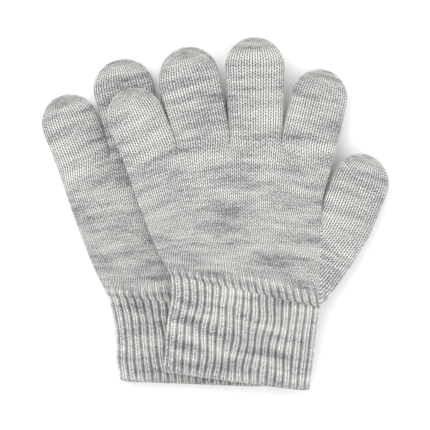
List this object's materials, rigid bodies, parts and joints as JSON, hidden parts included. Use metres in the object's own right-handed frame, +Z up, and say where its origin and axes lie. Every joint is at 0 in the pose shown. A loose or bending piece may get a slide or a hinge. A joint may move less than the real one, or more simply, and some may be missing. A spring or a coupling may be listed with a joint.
{
  "type": "knitted gloves",
  "caption": "Pair of child's seamless knitted stretch gloves in grey heather yarn, with ribbed elastic cuffs, lying flat one on the other.",
  "frame": {"origin": "on the table, under the centre of the pair's box", "axes": "+Z up from the table, +Y from the cuffs to the fingertips, +X towards both thumbs"},
  "size_m": [0.1534, 0.1546, 0.0172],
  "materials": {
    "lower_knit": "heather grey stocking stitch and rib",
    "lower_hem_knit": "lighter plain knitted hem",
    "lower_elastic": "covered elastic thread",
    "upper_knit": "heather grey stocking stitch and rib",
    "upper_hem_knit": "lighter plain knitted hem",
    "upper_elastic": "covered elastic thread"
  },
  "bodies": {
    "lower_palm": {"lower_palm": "lower_knit"},
    "lower_thumb": {"lower_thumb": "lower_knit"},
    "lower_index_finger": {"lower_index_finger": "lower_knit"},
    "lower_middle_finger": {"lower_middle_finger": "lower_knit"},
    "lower_ring_finger": {"lower_ring_finger": "lower_knit"},
    "lower_little_finger": {"lower_little_finger": "lower_knit"},
    "lower_cuff": {"lower_cuff": "lower_knit", "lower_hem": "lower_hem_knit", "lower_cuff_elastic": "lower_elastic"},
    "upper_palm": {"upper_palm": "upper_knit"},
    "upper_thumb": {"upper_thumb": "upper_knit"},
    "upper_index_finger": {"upper_index_finger": "upper_knit"},
    "upper_middle_finger": {"upper_middle_finger": "upper_knit"},
    "upper_ring_finger": {"upper_ring_finger": "upper_knit"},
    "upper_little_finger": {"upper_little_finger": "upper_knit"},
    "upper_cuff": {"upper_cuff": "upper_knit", "upper_hem": "upper_hem_knit", "upper_cuff_elastic": "upper_elastic"}
  },
  "joints": [
    {"name": "upper_glove_lifts_off", "type": "slide", "parent": "lower_palm", "child": "upper_palm", "axis": [0, 0, 1], "range_m": [0, 0.12]},
    {"name": "lower_thumb_bends", "type": "hinge", "parent": "lower_palm", "child": "lower_thumb", "pos_m": [0.02722, -0.0065, -0.00005], "axis": [-0.8833, 0.4689, 0], "range_deg": [0, 60]},
    {"name": "lower_index_finger_bends", "type": "hinge", "parent": "lower_palm", "child": "lower_index_finger", "pos_m": [0.01143, 0.02763, -0.00005], "axis": [-0.9608, 0.2773, 0], "range_deg": [0, 60]},
    {"name": "lower_middle_finger_bends", "type": "hinge", "parent": "lower_palm", "child": "lower_middle_finger", "pos_m": [-0.01186, 0.03175, -0.00005], "axis": [-0.9981, 0.0611, 0], "range_deg": [0, 60]},
    {"name": "lower_ring_finger_bends", "type": "hinge", "parent": "lower_palm", "child": "lower_ring_finger", "pos_m": [-0.03518, 0.0312, -0.00005], "axis": [-0.9946, -0.1042, 0], "range_deg": [0, 60]},
    {"name": "lower_little_finger_bends", "type": "hinge", "parent": "lower_palm", "child": "lower_little_finger", "pos_m": [-0.05832, 0.02535, -0.00005], "axis": [-0.9257, -0.3782, 0], "range_deg": [0, 60]},
    {"name": "lower_cuff_bends", "type": "hinge", "parent": "lower_palm", "child": "lower_cuff", "pos_m": [-0.01385, -0.03932, -0.00005], "axis": [0.9954, -0.0955, 0], "range_deg": [0, 70]},
    {"name": "upper_thumb_bends", "type": "hinge", "parent": "upper_palm", "child": "upper_thumb", "pos_m": [0.05791, -0.00192, 0.01524], "axis": [0.8741, -0.4351, -0.216], "range_deg": [0, 60]},
    {"name": "upper_index_finger_bends", "type": "hinge", "parent": "upper_palm", "child": "upper_index_finger", "pos_m": [0.04124, 0.03178, 0.0169], "axis": [0.9662, -0.2517, -0.0558], "range_deg": [0, 60]},
    {"name": "upper_middle_finger_bends", "type": "hinge", "parent": "upper_palm", "child": "upper_middle_finger", "pos_m": [0.01784, 0.03529, 0.01685], "axis": [0.9994, -0.0349, 0], "range_deg": [0, 60]},
    {"name": "upper_ring_finger_bends", "type": "hinge", "parent": "upper_palm", "child": "upper_ring_finger", "pos_m": [-0.00546, 0.03413, 0.01685], "axis": [0.9915, 0.1302, 0], "range_deg": [0, 60]},
    {"name": "upper_little_finger_bends", "type": "hinge", "parent": "upper_palm", "child": "upper_little_finger", "pos_m": [-0.02844, 0.02767, 0.01685], "axis": [0.9155, 0.4023, 0], "range_deg": [0, 60]},
    {"name": "upper_cuff_bends", "type": "hinge", "parent": "upper_palm", "child": "upper_cuff", "pos_m": [0.01337, -0.03361, 0.01772], "axis": [-0.9762, 0.216, 0.0205], "range_deg": [0, 70]}
  ]
}
